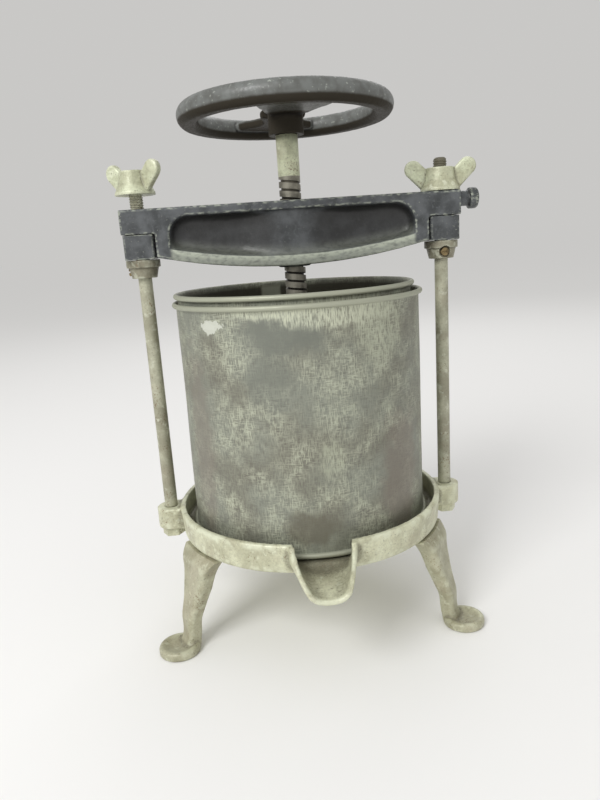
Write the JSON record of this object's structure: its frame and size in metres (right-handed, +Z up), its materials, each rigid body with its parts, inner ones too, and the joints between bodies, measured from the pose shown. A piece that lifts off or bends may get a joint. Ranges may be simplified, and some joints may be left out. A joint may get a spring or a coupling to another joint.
{
  "type": "screw fruit press",
  "caption": "Cast-iron table press for fruit: a handwheel screw drives a follower down a tin basket in a sleeve, on a legged drip tray with a pouring spout.",
  "frame": {"origin": "on the floor, under the press screw's axis", "axes": "+Z up along the press screw, -Y towards the pouring spout, rods at -X and +X"},
  "size_m": [0.2176, 0.2202, 0.3138],
  "materials": {
    "painted_casting": "aged aluminium paint, rubbed and specked with rust",
    "painted_fitting": "aged aluminium paint on iron",
    "black_casting": "black paint worn bright along the edges",
    "wheel_casting": "black paint rubbed grey by hands",
    "tinplate": "dull mottled tinplate",
    "screw_steel": "dark oiled steel with traces of paint",
    "brass_screw": "dull brass",
    "follower_casting": "tinned cast iron"
  },
  "bodies": {
    "frame": {"drip_tray": "painted_casting", "leg_left": "painted_casting", "leg_right": "painted_casting", "leg_back": "painted_casting", "rod_left": "painted_fitting", "rod_right": "painted_fitting", "rod_nut_left": "painted_fitting", "rod_nut_right": "painted_fitting", "collar_left": "painted_fitting", "collar_right": "painted_fitting", "crossbar": "black_casting", "spacer_left": "black_casting", "spacer_right": "black_casting", "outer_sleeve": "tinplate", "basket": "tinplate", "strainer_plate": "tinplate", "leg_screw_left": "screw_steel", "leg_screw_right": "screw_steel", "leg_screw_back": "screw_steel", "collar_screw_left": "brass_screw", "collar_screw_right": "brass_screw"},
    "follower": {"follower": "follower_casting"},
    "screw": {"press_screw": "screw_steel", "handwheel": "wheel_casting", "wheel_nut": "screw_steel", "follower_washer": "screw_steel"},
    "wing_nut_left": {"wing_nut_left": "painted_fitting"},
    "wing_nut_right": {"wing_nut_right": "painted_fitting"}
  },
  "joints": [
    {"name": "follower_feed", "type": "slide", "parent": "frame", "child": "follower", "axis": [0, 0, 1], "range_m": [-0.012, 0.115]},
    {"name": "wheel_turn", "type": "hinge", "parent": "follower", "child": "screw", "pos_m": [0, 0, 0.295], "axis": [0, 0, 1], "range_deg": [-919.1, 8808.5]},
    {"name": "left_nut_turn", "type": "hinge", "parent": "frame", "child": "wing_nut_left", "pos_m": [-0.089, 0, 0.27], "axis": [0, 0, 1], "continuous": true},
    {"name": "right_nut_turn", "type": "hinge", "parent": "frame", "child": "wing_nut_right", "pos_m": [0.089, 0, 0.262], "axis": [0, 0, 1], "continuous": true}
  ],
  "couplings": [
    {"joint": "follower_feed", "follows": "wheel_turn", "m_per_rad": 0.00074803}
  ]
}
